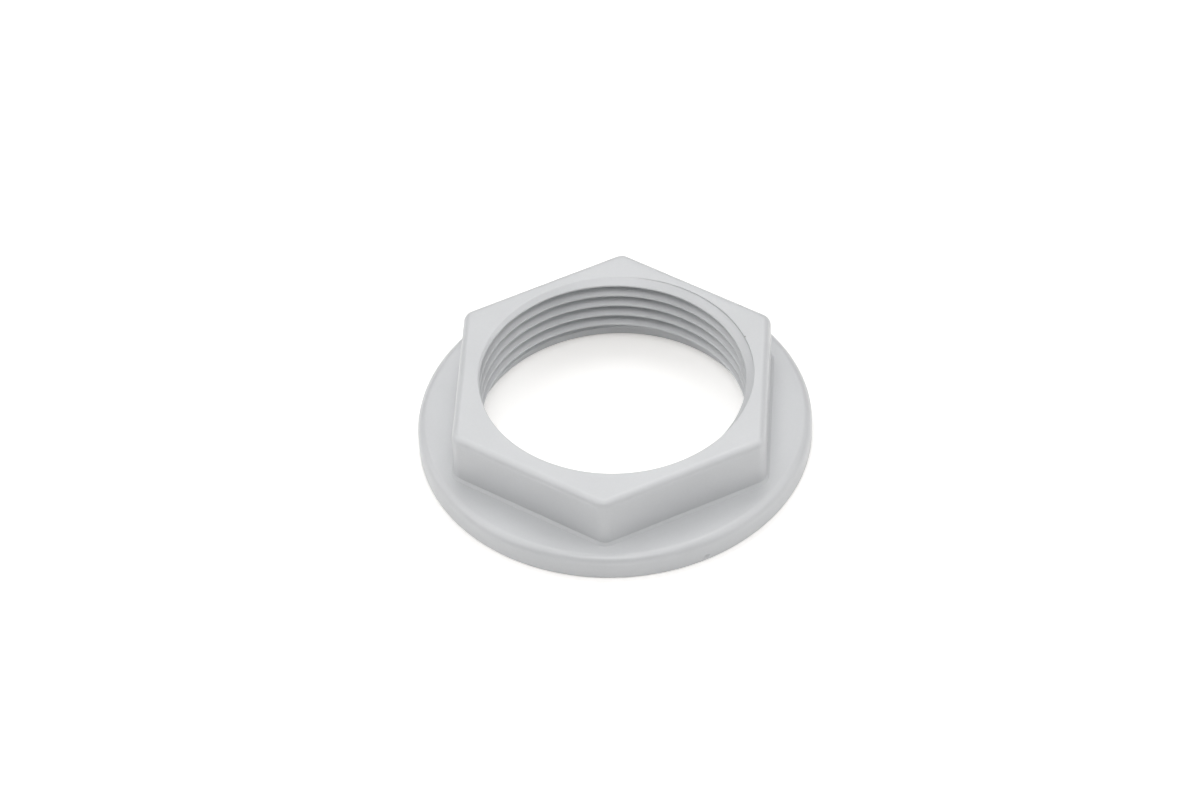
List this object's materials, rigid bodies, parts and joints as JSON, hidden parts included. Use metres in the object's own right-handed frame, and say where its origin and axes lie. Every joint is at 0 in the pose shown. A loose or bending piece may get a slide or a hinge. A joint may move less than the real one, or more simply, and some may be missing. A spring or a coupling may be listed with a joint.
{
  "type": "flanged waste pipe nut",
  "caption": "Moulded hexagon back nut with a round seating flange and an internal pipe thread, which clamps a waste fitting to its panel.",
  "frame": {"origin": "centre of the flange's seating face", "axes": "+Z along the bore axis, from the seating face to the hexagon; two corners of the hexagon lie on the Y axis"},
  "size_m": [0.0668, 0.0668, 0.0139],
  "materials": {
    "grey_plastic": "moulded satin"
  },
  "bodies": {
    "root": {"flanged_nut": "grey_plastic"}
  },
  "joints": []
}
